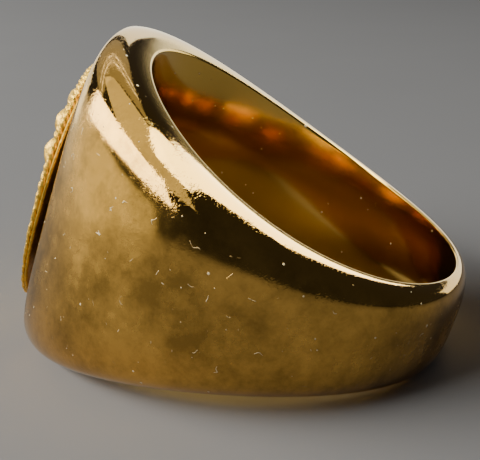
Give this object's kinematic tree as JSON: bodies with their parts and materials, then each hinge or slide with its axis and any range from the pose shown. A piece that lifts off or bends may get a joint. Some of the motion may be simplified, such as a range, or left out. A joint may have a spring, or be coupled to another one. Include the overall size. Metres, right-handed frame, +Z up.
{
  "type": "signet ring",
  "caption": "Broad-headed gold signet ring lying on its side, with an applied oval plaque edged in twisted wire and raised on a solder bed.",
  "frame": {"origin": "centre of the finger hole", "axes": "+Z up with the ring lying on its side as it rests on a table; the finger axis leans 17 degrees from +Z towards +X; the head's flat face looks towards -X and slightly up, and the thin base of the shank is at +X; Y runs across the finger"},
  "size_m": [0.0266, 0.026, 0.0186],
  "materials": {
    "polished_gold": "high polish, lightly scratched from wear",
    "stamped_gold": "bright stamped relief, granular",
    "post_wire": "drawn wire",
    "solder": "dull, fire-stained"
  },
  "bodies": {
    "root": {"ring_body": "polished_gold", "plaque": "stamped_gold", "border": "stamped_gold", "posts": "post_wire", "solder_bed": "solder"}
  },
  "joints": []
}
